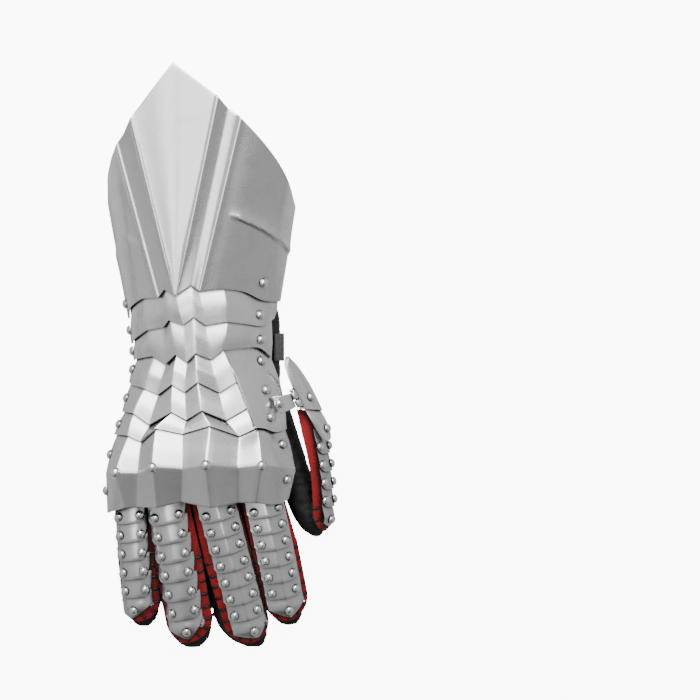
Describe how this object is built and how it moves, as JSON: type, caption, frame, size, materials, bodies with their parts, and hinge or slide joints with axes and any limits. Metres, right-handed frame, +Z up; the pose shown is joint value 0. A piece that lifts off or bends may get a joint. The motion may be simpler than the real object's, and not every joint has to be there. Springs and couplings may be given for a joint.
{
  "type": "armoured gauntlet",
  "caption": "Articulated plate gauntlet with a fluted pointed cuff, wrist and hand lames, knuckle plate, scaled fingers and thumb on red leather, and a glove inside.",
  "frame": {"origin": "on the floor below the middle of the gauntlet as it lies palm down", "axes": "+Z up from the floor, +Y towards the elbow, -Y towards the fingertips, +X towards the thumb"},
  "size_m": [0.1507, 0.3774, 0.084],
  "materials": {
    "steel": "satin polished steel",
    "red_leather": "dyed smooth leather",
    "black_leather": "soft matt glove leather",
    "strap": "dull strap leather"
  },
  "bodies": {
    "hand": {"metacarpal_lame_1": "steel", "metacarpal_lame_2": "steel", "metacarpal_lame_3": "steel", "knuckle_plate": "steel", "little_lame_1": "steel", "little_lame_2": "steel", "little_lame_3": "steel", "little_lame_4": "steel", "little_lame_5": "steel", "little_lame_6": "steel", "little_backing": "red_leather", "ring_lame_1": "steel", "ring_lame_2": "steel", "ring_lame_3": "steel", "ring_lame_4": "steel", "ring_lame_5": "steel", "ring_lame_6": "steel", "ring_lame_7": "steel", "ring_backing": "red_leather", "middle_lame_1": "steel", "middle_lame_2": "steel", "middle_lame_3": "steel", "middle_lame_4": "steel", "middle_lame_5": "steel", "middle_lame_6": "steel", "middle_lame_7": "steel", "middle_lame_8": "steel", "middle_backing": "red_leather", "index_lame_1": "steel", "index_lame_2": "steel", "index_lame_3": "steel", "index_lame_4": "steel", "index_lame_5": "steel", "index_lame_6": "steel", "index_lame_7": "steel", "index_backing": "red_leather", "thumb_lame_3": "steel", "thumb_lame_4": "steel", "thumb_lame_5": "steel", "thumb_lame_6": "steel", "thumb_lame_7": "steel", "thumb_backing": "red_leather", "thumb_lame_1": "steel", "thumb_lame_2": "steel", "hinge_leaf": "steel", "hinge_pin": "steel", "glove_little_finger": "black_leather", "glove_ring_finger": "black_leather", "glove_middle_finger": "black_leather", "glove_index_finger": "black_leather", "glove_thumb": "black_leather", "glove_palm": "black_leather", "wrist_strap": "strap"},
    "cuff": {"cuff_plate": "steel"},
    "wrist_1": {"wrist_lame_1": "steel"},
    "wrist_2": {"wrist_lame_2": "steel"}
  },
  "joints": [
    {"name": "wrist_2_pivot", "type": "hinge", "parent": "hand", "child": "wrist_2", "pos_m": [-0.0148, 0.0067, 0.03375], "axis": [0.983, 0.0883, 0.161], "range_deg": [-4, 4]},
    {"name": "wrist_1_pivot", "type": "hinge", "parent": "wrist_2", "child": "wrist_1", "pos_m": [-0.0161, 0.02145, 0.0345], "axis": [0.9778, 0.1155, 0.175], "range_deg": [-4, 4]},
    {"name": "cuff_pivot", "type": "hinge", "parent": "wrist_1", "child": "cuff", "pos_m": [-0.01675, 0.04025, 0.03425], "axis": [0.9764, 0.1473, 0.1582], "range_deg": [-4, 4]}
  ],
  "couplings": [
    {"joint": "wrist_1_pivot", "follows": "cuff_pivot", "ratio": 1},
    {"joint": "wrist_2_pivot", "follows": "cuff_pivot", "ratio": 1}
  ]
}
